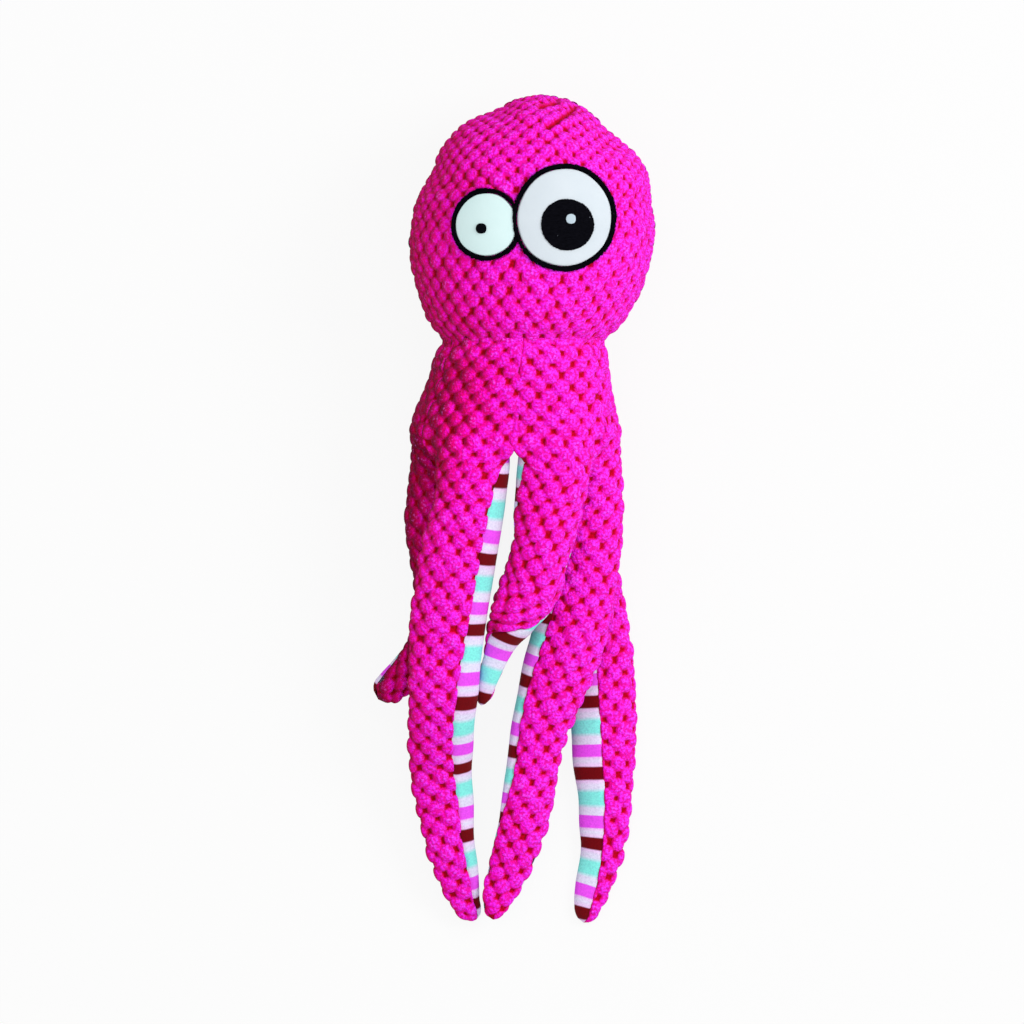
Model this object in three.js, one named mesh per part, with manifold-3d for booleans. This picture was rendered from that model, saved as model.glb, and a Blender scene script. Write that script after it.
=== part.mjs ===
// A plush octopus that lies on its back: a stuffed ball of a head with two odd eyes,
// a stuffed body sewn on at the neck, and six long tapering tentacles around the hem.
// Millimetres, +Z up, the head towards +Y, the origin under the middle of the toy.
import * as THREE from 'three';
import { mergeVertices } from 'three/addons/utils/BufferGeometryUtils.js';
import Module from 'manifold-3d';

const wasm = await Module();
wasm.setup();

// Fabrics and clearances
const clothThickness = 2.4;
const seamGap = 0.3;
const jointGap = 0.35;
const pressedDepth = 0.5;
const cutOverrun = 2;

// Head
const headWidth = 126;
const headDepth = 112;
const crownHeight = 66.5;
const chinHeight = 86;
const neckDrop = 61.5;
const headX = 12.5;
const headY = 149.2;
const chinLean = 0.108;
const crownLean = 0.035;
const headSides = 28;
const crownSteps = 7;
const chinSteps = 4;

// Eyes, measured flat on the face, from the middle of the head
const bigEye = { x: 15, y: 2.6, width: 49.4, height: 50.8 };
const smallEye = { x: -25.7, y: -1, width: 31.6, height: 33 };
const bigPupil = { x: 16.4, y: -1, width: 27.2, height: 27.2 };
const smallPupil = { x: -27.8, y: -3, width: 5.6, height: 5.6 };
const glint = { x: 18.3, y: 2, width: 6.2, height: 6.2 };
const stitchWidth = 2.7;
const stitchHeight = 2.2;
const eyeHeight = 1.4;
const pupilHeight = 1;
const glintHeight = 0.8;
const eyeSides = 28;

// Body, from the neck down to the hem
const hemY = 41;
const hemX = 1;
const hemWidth = 109;
const hemDepth = 82;
const neckX = headX - chinLean * neckDrop;
const bodySides = 28;
const bodyRings = 5;
const hemSquareness = 2.7;
const hemFlare = 1.5;

// Tentacles
const reach = 256;
const tentacleWidthShare = 0.367;
const tentacleDepth = 25;
const layerGap = 3.4;
const depthToWidth = 0.75;
const tipOpening = 0.5;
const pinkArcs = 6;
const stripedArcs = 5;
const thinClothShare = 0.3;
const upperRings = 7;
const lowerRings = 8;

// How thick a tentacle is at each share of the reach
const depthShares = [[0, 1], [0.2, 0.93], [0.4, 0.78], [0.6, 0.62], [0.8, 0.47], [0.93, 0.33], [1.1, 0.2]];

// Each tentacle's route, hand-chosen. Down is a share of the reach below the hem, side a share
// of half the hem's width, wide a share of a tentacle's width there. Level counts the tentacles
// that it lies on, and turn is how far, in degrees, its two side seams have rolled.
const columns = ['down', 'side', 'wide', 'level', 'turn'];
const tentacles = [
  { name: 'front_left', out: -1, bendShare: 0.45, routeShares: [
    [0, -0.39, 0.98, 2, 20], [0.045, -0.39, 0.96, 2, 35], [0.14, -0.42, 0.91, 2, 57],
    [0.265, -0.54, 1, 2, 56], [0.41, -0.64, 0.97, 2, 58], [0.535, -0.685, 0.89, 2, 70],
    [0.63, -0.72, 0.83, 1.6, 70], [0.7, -0.718, 0.79, 1.2, 66], [0.77, -0.68, 0.72, 1, 62],
    [0.845, -0.61, 0.64, 0.95, 60], [0.92, -0.52, 0.52, 0.7, 58], [0.965, -0.45, 0.38, 0.4, 58],
    [0.997, -0.36, 0.2, 0.25, 58]] },
  { name: 'front_right', out: 1, bendShare: 0.5, routeShares: [
    [0, 0.4, 0.99, 2, -38], [0.045, 0.395, 0.96, 2, -38], [0.105, 0.369, 0.93, 2, -30],
    [0.15, 0.33, 0.9, 2, -18], [0.19, 0.303, 0.84, 2, -8], [0.225, 0.285, 0.75, 2, 0],
    [0.265, 0.235, 0.75, 2, 5], [0.31, 0.18, 0.8, 2, 5], [0.37, 0.02, 0.66, 2, 50],
    [0.43, -0.12, 0.38, 2, 175], [0.5, -0.225, 0.28, 2, 180], [0.56, -0.3, 0.17, 2, 180]] },
  { name: 'left', out: -1, bendShare: 0.5, routeShares: [
    [0, -0.63, 0.98, 1, 75], [0.045, -0.63, 0.96, 1, 75], [0.12, -0.685, 0.91, 1, 65],
    [0.185, -0.725, 0.89, 1, 55], [0.265, -0.705, 0.81, 1, 45], [0.35, -0.69, 0.73, 1, 35],
    [0.43, -0.79, 0.62, 1, 25], [0.485, -0.98, 0.48, 1, 5], [0.515, -1.16, 0.38, 1, -20],
    [0.535, -1.3, 0.24, 1, -40]] },
  { name: 'right', out: 1, bendShare: 0.45, routeShares: [
    [0, 0.66, 0.98, 1, -90], [0.045, 0.66, 0.98, 1, -85], [0.12, 0.685, 0.96, 1, -75],
    [0.205, 0.685, 0.96, 1, -65], [0.3, 0.64, 0.94, 1, -60], [0.375, 0.575, 0.96, 1, -55],
    [0.45, 0.48, 0.96, 1, -52], [0.54, 0.343, 0.85, 1, -45], [0.62, 0.235, 0.71, 1, -42],
    [0.705, 0.165, 0.67, 1, -50], [0.765, 0.12, 0.65, 1, -35], [0.83, 0.05, 0.62, 1, -5],
    [0.885, -0.035, 0.57, 1, 0], [0.935, -0.122, 0.47, 1, 0], [0.975, -0.185, 0.34, 1, 0],
    [0.997, -0.2, 0.2, 1, 0]] },
  { name: 'back_right', out: 1, bendShare: 0.45, routeShares: [
    [0, 0.42, 0.96, 0, -125], [0.045, 0.42, 0.94, 0, -120], [0.14, 0.5, 0.9, 0, -105],
    [0.26, 0.64, 0.88, 0, -92], [0.36, 0.745, 0.87, 0, -88], [0.48, 0.825, 0.87, 0, -86],
    [0.6, 0.856, 0.86, 0, -86], [0.69, 0.865, 0.78, 0, -90], [0.754, 0.873, 0.69, 0, -90],
    [0.8, 0.867, 0.64, 0, -90], [0.845, 0.852, 0.58, 0, -90], [0.915, 0.782, 0.48, 0, -95],
    [0.957, 0.722, 0.42, 0, -105], [1.003, 0.668, 0.24, 0, -110]] },
  { name: 'back_left', out: -1, bendShare: 0.45, routeShares: [
    [0, -0.39, 0.94, 0, 125], [0.045, -0.39, 0.93, 0, 120], [0.14, -0.43, 0.88, 0, 110],
    [0.265, -0.53, 0.85, 0, 100], [0.41, -0.62, 0.82, 0, 95], [0.5, -0.66, 0.76, 0, 90],
    [0.59, -0.69, 0.66, 0, 90], [0.68, -0.69, 0.52, 0, 90], [0.75, -0.67, 0.34, 0, 90],
    [0.8, -0.65, 0.18, 0, 90]] },
];

// Materials
const bobbleCloth = new THREE.MeshStandardMaterial({ color: 0xf0199f, roughness: 0.95 });
const stripedCloth = new THREE.MeshStandardMaterial({ color: 0xe6dff2, roughness: 0.9 });
const stuffing = new THREE.MeshStandardMaterial({ color: 0xf4f4f0, roughness: 1 });
const whiteFelt = new THREE.MeshStandardMaterial({ color: 0xe4f1f3, roughness: 0.9 });
const blackThread = new THREE.MeshStandardMaterial({ color: 0x0c0b12, roughness: 0.6 });

const octopus = new THREE.Group();
octopus.userData.hinges = [];

function add(name, geometry, material) {
  const mesh = new THREE.Mesh(geometry, material);
  mesh.name = name;
  octopus.add(mesh);
}

// Solids for joining and cutting

function toSolid(geometry) {
  const bare = geometry.index ? geometry.toNonIndexed() : geometry.clone();
  bare.deleteAttribute('normal');
  bare.deleteAttribute('uv');
  const merged = mergeVertices(bare, 1e-4);
  return new wasm.Manifold(new wasm.Mesh({
    numProp: 3,
    vertProperties: merged.attributes.position.array,
    triVerts: new Uint32Array(merged.index.array),
  }));
}

function toGeometry(solid) {
  const { vertProperties, triVerts } = solid.getMesh();
  const geometry = new THREE.BufferGeometry();
  geometry.setAttribute('position', new THREE.BufferAttribute(new Float32Array(vertProperties), 3));
  geometry.setIndex(new THREE.BufferAttribute(new Uint32Array(triVerts), 1));
  return geometry;
}

const farAway = 2 * (reach + headY);

// A box that fills all space below or above a height
function halfSpace(z, side) {
  const box = new THREE.BoxGeometry(farAway, farAway, farAway);
  return toSolid(box.translate(0, 0, z + side * farAway / 2));
}

const underFloor = halfSpace(0, -1);

// Walls through rings of points that run anticlockwise about the way they go. From the turn
// where a ring comes back inside, the diagonals lean the other way, so they match outside's.
function loft(rings, turnBack) {
  const count = rings[0].length;
  const corners = rings.flat();
  const faces = [];
  for (let r = 0; r < rings.length - 1; r++) {
    for (let k = 0; k < count; k++) {
      const a = r * count + k;
      const b = r * count + (k + 1) % count;
      if (k < turnBack) {
        faces.push(a, b, b + count, a, b + count, a + count);
      } else {
        faces.push(a, b, a + count, b, b + count, a + count);
      }
    }
  }
  return { corners, faces, count, last: (rings.length - 1) * count };
}

function meshOf({ corners, faces }) {
  const geometry = new THREE.BufferGeometry().setFromPoints(corners);
  geometry.setIndex(faces);
  return geometry;
}

// A loft closed by fans, for full sections
function solidLoft(rings) {
  const shape = loft(rings, rings[0].length);
  for (let k = 1; k < shape.count - 1; k++) {
    shape.faces.push(0, k + 1, k);
    shape.faces.push(shape.last, shape.last + k, shape.last + k + 1);
  }
  return meshOf(shape);
}

// A loft closed by strips, for sections whose second half runs back inside the first
function stripLoft(rings) {
  const half = rings[0].length / 2;
  const shape = loft(rings, half);
  for (let k = 0; k < half - 1; k++) {
    const [a, b] = [k, k + 1];
    const [c, d] = [shape.count - 1 - b, shape.count - 1 - a];
    shape.faces.push(a, c, b, a, d, c);
    const at = shape.last;
    shape.faces.push(at + a, at + b, at + c, at + a, at + c, at + d);
  }
  return meshOf(shape);
}

// Head: a ball with a longer, slimmer chin, cut flat at the neck, its crown leaning to one side

const headZ = headDepth / 2 - pressedDepth;

function headSolid(offset, neckOverrun) {
  const radius = headWidth / 2 + offset;
  const crown = crownHeight + offset;
  const chin = chinHeight + offset;
  const neck = neckDrop + neckOverrun;
  const neckAngle = Math.asin(neck / chin);
  const profile = [new THREE.Vector2(0, -neck)];
  for (let k = 0; k <= chinSteps; k++) {
    const angle = neckAngle * (k / chinSteps - 1);
    profile.push(new THREE.Vector2(radius * Math.cos(angle), chin * Math.sin(angle)));
  }
  for (let k = 1; k < crownSteps; k++) {
    const angle = Math.PI / 2 * k / crownSteps;
    profile.push(new THREE.Vector2(radius * Math.cos(angle), crown * Math.sin(angle)));
  }
  profile.push(new THREE.Vector2(0, crown));
  const depthShare = (headDepth / 2 + offset) / radius;
  const ball = new THREE.LatheGeometry(profile, headSides).scale(1, 1, depthShare);
  const { position } = ball.attributes;
  for (let k = 0; k < position.count; k++) {
    const lean = position.getY(k) > 0 ? crownLean : chinLean;
    position.setX(k, position.getX(k) + lean * position.getY(k));
  }
  return toSolid(ball.translate(headX, headY, headZ));
}

const headShell = headSolid(0, 0).subtract(headSolid(-clothThickness, cutOverrun)).subtract(underFloor);
add('head_front_cover', toGeometry(headShell.subtract(halfSpace(headZ + seamGap / 2, -1))), bobbleCloth);
add('head_back_cover', toGeometry(headShell.subtract(halfSpace(headZ - seamGap / 2, 1))), bobbleCloth);
add('head_fill', toGeometry(headSolid(-clothThickness - seamGap, 0)), stuffing);

// Eyes: flat patches that follow the face, each a little above what it is sewn to

function disc({ x, y, width, height }, margin) {
  const outline = new THREE.CylinderGeometry(width / 2 + margin, width / 2 + margin, farAway, eyeSides);
  outline.rotateX(Math.PI / 2);
  outline.scale(1, (height / 2 + margin) / (width / 2 + margin), 1);
  return toSolid(outline.translate(headX + x, headY + y, headZ + farAway / 2));
}

const eyeBase = seamGap;
const eyeTop = eyeBase + eyeHeight;
const pupilTop = eyeTop + seamGap + pupilHeight;
const glintTop = pupilTop + seamGap + glintHeight;

function patch(outline, low, high) {
  return outline.intersect(headSolid(high, 0)).subtract(headSolid(low, cutOverrun));
}

const bigReach = disc(bigEye, seamGap + stitchWidth + seamGap);
const bigRing = disc(bigEye, seamGap + stitchWidth).subtract(disc(bigEye, seamGap));
const smallRing = disc(smallEye, seamGap + stitchWidth).subtract(disc(smallEye, seamGap)).subtract(bigReach);
const eyePieces = [
  ['big_eye_white', disc(bigEye, 0), eyeBase, eyeTop, whiteFelt],
  ['big_eye_stitching', bigRing, eyeBase, eyeBase + stitchHeight, blackThread],
  ['big_eye_pupil', disc(bigPupil, 0), eyeTop + seamGap, pupilTop, blackThread],
  ['big_eye_glint', disc(glint, 0), pupilTop + seamGap, glintTop, whiteFelt],
  ['small_eye_white', disc(smallEye, 0).subtract(bigReach), eyeBase, eyeTop, whiteFelt],
  ['small_eye_stitching', smallRing, eyeBase, eyeBase + stitchHeight, blackThread],
  ['small_eye_pupil', disc(smallPupil, 0), eyeTop + seamGap, pupilTop, blackThread],
];
for (const [name, outline, low, high, material] of eyePieces) {
  add(name, toGeometry(patch(outline, low, high)), material);
}

// Body: round at the neck, squarer and wider at the hem, closed there by its own cloth

const neckY = headY - neckDrop;
const neckShare = Math.sqrt(1 - (neckDrop / chinHeight) ** 2);
const hemZ = hemDepth / 2 - pressedDepth;

function bodySolid(offset, neckOverrun, hemInset) {
  const heights = Array.from({ length: bodyRings + 1 }, (_, r) => THREE.MathUtils.lerp(neckY, hemY, r / bodyRings));
  heights[0] -= jointGap;
  heights[bodyRings] += hemInset;
  const rings = [];
  for (let r = 0; r <= bodyRings; r++) {
    const y = heights[r];
    const share = r / bodyRings;
    const ease = share ** hemFlare;
    const halfWidth = THREE.MathUtils.lerp(neckShare * headWidth, hemWidth, ease) / 2 + offset;
    const halfDepth = THREE.MathUtils.lerp(neckShare * headDepth, hemDepth, ease) / 2 + offset;
    const centre = new THREE.Vector2(neckX, headZ).lerp(new THREE.Vector2(hemX, hemZ), share);
    const power = 2 / THREE.MathUtils.lerp(2, hemSquareness, share);
    const ring = [];
    for (let k = 0; k < bodySides; k++) {
      const angle = 2 * Math.PI * (k + 0.5) / bodySides;
      const across = Math.sign(Math.cos(angle)) * Math.abs(Math.cos(angle)) ** power;
      const up = Math.sign(Math.sin(angle)) * Math.abs(Math.sin(angle)) ** power;
      ring.push(new THREE.Vector3(centre.x + halfWidth * across, y, centre.y + halfDepth * up));
    }
    rings.push(ring);
  }
  if (neckOverrun) {
    rings.unshift(rings[0].map((point) => new THREE.Vector3(point.x, point.y + neckOverrun, point.z)));
  }
  return toSolid(solidLoft(rings));
}

const bodyHollow = bodySolid(-clothThickness, cutOverrun, clothThickness);
add('body_cover', toGeometry(bodySolid(0, 0, 0).subtract(bodyHollow).subtract(underFloor)), bobbleCloth);
add('body_fill', toGeometry(bodySolid(-clothThickness - seamGap, 0, clothThickness + seamGap)), stuffing);

octopus.userData.hinges.push({ name: 'neck', at: [neckX, neckY, headZ + neckShare * headDepth / 2], axis: [1, 0, 0] });

// Tentacles: two half-tubes of cloth, one bobbled and one striped, around a stuffed core

function along(table, at) {
  let k = 1;
  while (k < table.length - 1 && table[k][0] < at) k++;
  const [[x0, y0], [x1, y1]] = [table[k - 1], table[k]];
  return THREE.MathUtils.lerp(y0, y1, THREE.MathUtils.clamp((at - x0) / (x1 - x0), 0, 1));
}

function stackDepth(distanceShare) {
  return tentacleDepth * along(depthShares, distanceShare);
}

// The route's stations in real sizes, with the middle line as a smooth curve
function routeOf({ routeShares }) {
  const stations = routeShares.map((row) => Object.fromEntries(columns.map((key, k) => [key, row[k]])));
  const rootSide = stations[0].side * hemWidth / 2;
  for (const at of stations) {
    const x = at.side * hemWidth / 2;
    const down = at.down * reach;
    at.width = at.wide * tentacleWidthShare * hemWidth;
    const stack = stackDepth(Math.hypot(x - rootSide, down) / reach);
    at.depth = Math.min(stack, depthToWidth * at.width);
    const low = at.level * (stack + layerGap) - pressedDepth;
    at.centre = new THREE.Vector3(hemX + x, hemY - jointGap - down, low + at.depth / 2);
  }
  const curve = new THREE.CatmullRomCurve3(stations.map((at) => at.centre));
  return { stations, curve };
}

// The section at a share of the curve: its centre, its two directions, its size and its roll
function sectionAt({ stations, curve }, share, shift) {
  const t = curve.getUtoTmapping(share);
  const spot = t * (stations.length - 1);
  const k = Math.min(Math.floor(spot), stations.length - 2);
  const mix = (key) => THREE.MathUtils.lerp(stations[k][key], stations[k + 1][key], spot - k);
  const ahead = share === 0 ? new THREE.Vector3(0, -1, 0) : curve.getTangent(t);
  const across = new THREE.Vector3(0, 0, 1).cross(ahead).normalize();
  const up = ahead.clone().cross(across);
  const centre = curve.getPoint(t).addScaledVector(ahead, shift);
  return { centre, across, up, width: mix('width'), depth: mix('depth'), turn: mix('turn') };
}

function rim({ centre, across, up, width, depth }, angle, inset) {
  const halfWidth = Math.max(width / 2 - inset, tipOpening);
  const halfDepth = Math.max(depth / 2 - inset, tipOpening);
  const point = centre.clone();
  point.addScaledVector(across, halfWidth * Math.cos(angle));
  point.addScaledVector(up, halfDepth * Math.sin(angle));
  point.z = Math.max(point.z, 0);
  return point;
}

// The angles of a section from just past one seam to just before the next
function seamToSeam(section, fromTurn, arcs) {
  const gapAngle = seamGap / Math.min(section.width, section.depth);
  const start = THREE.MathUtils.degToRad(section.turn + fromTurn) + gapAngle;
  const sweep = Math.PI - 2 * gapAngle;
  return Array.from({ length: arcs + 1 }, (_, k) => start + sweep * k / arcs);
}

function thicknessAt(section) {
  return Math.min(clothThickness, thinClothShare * section.depth);
}

// A half-tube of cloth as a ring of points that goes out and comes back inside
function clothRing(section, fromTurn, arcs) {
  const angles = seamToSeam(section, fromTurn, arcs);
  const outside = angles.map((angle) => rim(section, angle, 0));
  const inside = angles.map((angle) => rim(section, angle, thicknessAt(section)));
  return [...outside, ...inside.reverse()];
}

function fillRing(section) {
  const angles = [...seamToSeam(section, 0, pinkArcs), ...seamToSeam(section, 180, stripedArcs)];
  return angles.map((angle) => rim(section, angle, thicknessAt(section) + seamGap));
}

function sectionsBetween(route, from, to, count, startShift, endShift) {
  return Array.from({ length: count }, (_, k) => {
    const shift = k === 0 ? startShift : k === count - 1 ? endShift : 0;
    return sectionAt(route, THREE.MathUtils.lerp(from, to, k / (count - 1)), shift);
  });
}

// A hinge stands upright on the outer edge of the face that it opens
function addHinge(name, section, out) {
  const at = section.centre.clone().addScaledVector(section.across, out * section.width / 2);
  octopus.userData.hinges.push({ name, at: at.toArray(), axis: [0, 0, out] });
}

for (const tentacle of tentacles) {
  const route = routeOf(tentacle);
  const { name, out, bendShare } = tentacle;
  const halves = [
    ['upper', sectionsBetween(route, 0, bendShare, upperRings, 0, -jointGap / 2)],
    ['lower', sectionsBetween(route, bendShare, 1, lowerRings, jointGap / 2, 0)],
  ];
  for (const [half, sections] of halves) {
    const node = `${name}_${half}`;
    const filled = sections.filter((section) => section.depth / 2 > clothThickness);
    add(`${node}_cover`, stripLoft(sections.map((section) => clothRing(section, 0, pinkArcs))), bobbleCloth);
    add(`${node}_underside`, stripLoft(sections.map((section) => clothRing(section, 180, stripedArcs))), stripedCloth);
    add(`${node}_fill`, solidLoft(filled.map(fillRing)), stuffing);
    addHinge(node, sections[0], out);
  }
}

export default octopus;
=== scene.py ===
"""Looks of a plush octopus that lies on its back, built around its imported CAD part.

Every length in the shape functions is in millimetres, and meshes are written in metres.
"""
import math

import bmesh
import bpy
import numpy as np
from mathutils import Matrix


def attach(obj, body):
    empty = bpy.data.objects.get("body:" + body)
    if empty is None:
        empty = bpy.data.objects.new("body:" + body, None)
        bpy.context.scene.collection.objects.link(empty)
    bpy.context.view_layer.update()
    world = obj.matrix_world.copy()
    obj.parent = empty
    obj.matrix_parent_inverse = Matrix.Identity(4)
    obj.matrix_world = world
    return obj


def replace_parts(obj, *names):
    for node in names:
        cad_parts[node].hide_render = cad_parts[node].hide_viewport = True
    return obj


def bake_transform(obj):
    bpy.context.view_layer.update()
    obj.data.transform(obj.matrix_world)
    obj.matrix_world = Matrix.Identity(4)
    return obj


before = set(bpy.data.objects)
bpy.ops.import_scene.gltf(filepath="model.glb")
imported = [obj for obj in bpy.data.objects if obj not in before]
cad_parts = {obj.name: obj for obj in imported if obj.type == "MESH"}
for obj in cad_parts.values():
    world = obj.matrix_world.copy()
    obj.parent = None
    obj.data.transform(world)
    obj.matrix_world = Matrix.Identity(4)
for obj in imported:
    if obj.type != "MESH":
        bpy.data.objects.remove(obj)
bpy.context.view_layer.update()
scene = bpy.context.scene

# The CAD part's own measures, repeated from its source
PRESSED = 0.5
HEAD_WIDTH, HEAD_DEPTH = 126, 112
CROWN, CHIN, NECK_DROP = 66.5, 86, 61.5
HEAD_X, HEAD_Y, CHIN_LEAN, CROWN_LEAN = 12.5, 149.2, 0.108, 0.035
HEAD_Z = HEAD_DEPTH / 2 - PRESSED
NECK_X, NECK_Y = HEAD_X - CHIN_LEAN * NECK_DROP, HEAD_Y - NECK_DROP
NECK_SHARE = math.sqrt(1 - (NECK_DROP / CHIN) ** 2)
HEM_X, HEM_Y, HEM_WIDTH, HEM_DEPTH = 1, 41, 109, 82
HEM_Z = HEM_DEPTH / 2 - PRESSED
HEM_SQUARENESS, HEM_FLARE = 2.7, 1.5
REACH, TENTACLE_WIDTH, TENTACLE_DEPTH = 256, 40, 25
JOINT_GAP, LAYER_GAP, DEPTH_TO_WIDTH = 0.35, 3.4, 0.75
DEPTH_SHARES = np.array([
    [0, 1], [0.2, 0.93], [0.4, 0.78], [0.6, 0.62], [0.8, 0.47], [0.93, 0.33], [1.1, 0.2]])

# Lengths that ease the head's lean, a tentacle's tip and root, and the roll of its seams
LEAN_BLEND, TIP_ROUNDING, ROOT_EASE, TURN_EASE = 12, 7.0, 14, 15

# How the body's panels turn into tentacles: lengths in mm, laps over a seam in degrees
CROTCH_DROP, SEAM_HOLD, BODY_HOLD = 22, 6, 20
SEAM_LAP, TUBE_LAP = 0.9, 4.5
PANEL_WIDTH, SEAM_DEPTH, SEAM_WIDTH = 50, 0.9, 3.4
UPPER_HALF_END, HEM_BLEND, BEND_BLEND = 14, (1, 24), 13
NECK_LAP, LINING_LAP = 1.5, 1.0

# The bobbled cloth: staggered rows of round tufts, a little uneven in size and height. Heights
# start at a foot below the cloth, and its edges are tucked in.
TENTACLE_TUFTS = {
    "across": 11.7, "row": 5.85, "height": 3.0, "half_width": 5.05, "half_length": 4.9, "warp": 1.1}
HEAD_TUFTS = {
    "across": 10.6, "row": 5.7, "height": 2.6, "half_width": 4.7, "half_length": 4.7, "warp": 0.7}
TUFT_FOOT, EDGE_TUCK, EDGE_TUCK_WIDTH, EDGE_FADE = -1.7, 2.2, 0.45, 1.6
LEAST_TUFT, TUFT_SPREAD = 0.93, 0.12
LEAST_LIFT, LIFT_SPREAD = 0.74, 0.26

# How fine the grids of cloth are, and where the relief gets lower: on a tube narrower than this,
# or down to where a sunk tentacle is at its lowest
CLOTH_STEP, LINING_STEP = 0.75, 1.6
CLOTH_WIDTH, LINING_COLUMNS = 54, 32
PANEL_COLUMNS = int(CLOTH_WIDTH / CLOTH_STEP)
THIN_TUBE, SUNK_LENGTH = 22, 90
TABLE_HEIGHT = 0.1

# The striped cloth: how high it lies and puffs up, and how it tucks in along its seams
LINING_HEIGHT, LINING_PUFF, LINING_TUCK, LINING_TUCK_WIDTH = 0.2, 0.35, 1.1, 1.1
HEM_INSET, HEM_HOLLOW, HEM_BULGE = 5, 3, 2.5

# The pile is painted pinker and lighter where it faces the light from the toy's right, darker
# where it faces away, and a painted shadow darkens a patch: x, y, two spreads and how much. The
# painted shade of a tentacle sets in from a little above the hem.
PAINTED_LIGHT_LEVEL, PAINTED_LIGHT_SHARE = 0.58, 0.5
PAINTED_LIGHT_FROM = np.array([0.8, 0.1, 0.59])
PAINTED_SHADOW_PATCH = (-29, 52, 21, 36, 0.3)
SHADE_START, SHADE_LENGTH = HEM_Y + 14, 26

# The eyes from the head's middle, and how far their patches and rings go into the face
BIG_EYE = {"x": 14.6, "y": 2.6, "width": 49.4, "height": 50.8}
SMALL_EYE = {"x": -25.7, "y": -1, "width": 31.6, "height": 33}
BIG_PUPIL = {"x": 15.9, "y": -1, "width": 27.2, "height": 27.2}
SMALL_PUPIL = {"x": -27.8, "y": -3, "width": 5.6, "height": 5.6}
GLINT = {"x": 17.4, "y": 2, "width": 5.1, "height": 5.2}
STITCH = 2.5
PATCH_RIM, PATCH_DEPTH, RING_DEPTH = 0.965, 1.0, 0.6

# The head's grid, how its cloth is laid over it, and how it is tucked in at the neck and folded
HEAD_SEGMENTS = (460, 230)
HEAD_CLOTH = (61, 66)
HEAD_UNDERLAP, UNDER_EYES = 2.0, 0.4
NECK_TUCK, NECK_TUCK_LENGTH = 2.5, 5.0
DART_DEPTH, DART_WIDTH = 1.6, 1.5

# Flat and full places around the head's outline: angle, push outward in mm and spread in degrees
HEAD_DENTS = [(51, -5.0, 17), (10, -2.6, 11), (110, -2.8, 11), (154, -2.6, 9), (190, 2.2, 18), (-36, 1.2, 14)]

# Short sewn folds by the crown, from one place to the other
DARTS = [((19.3, 200.2), (32.4, 209.6)), ((14.6, 211.1), (23.5, 213.2))]
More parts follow.
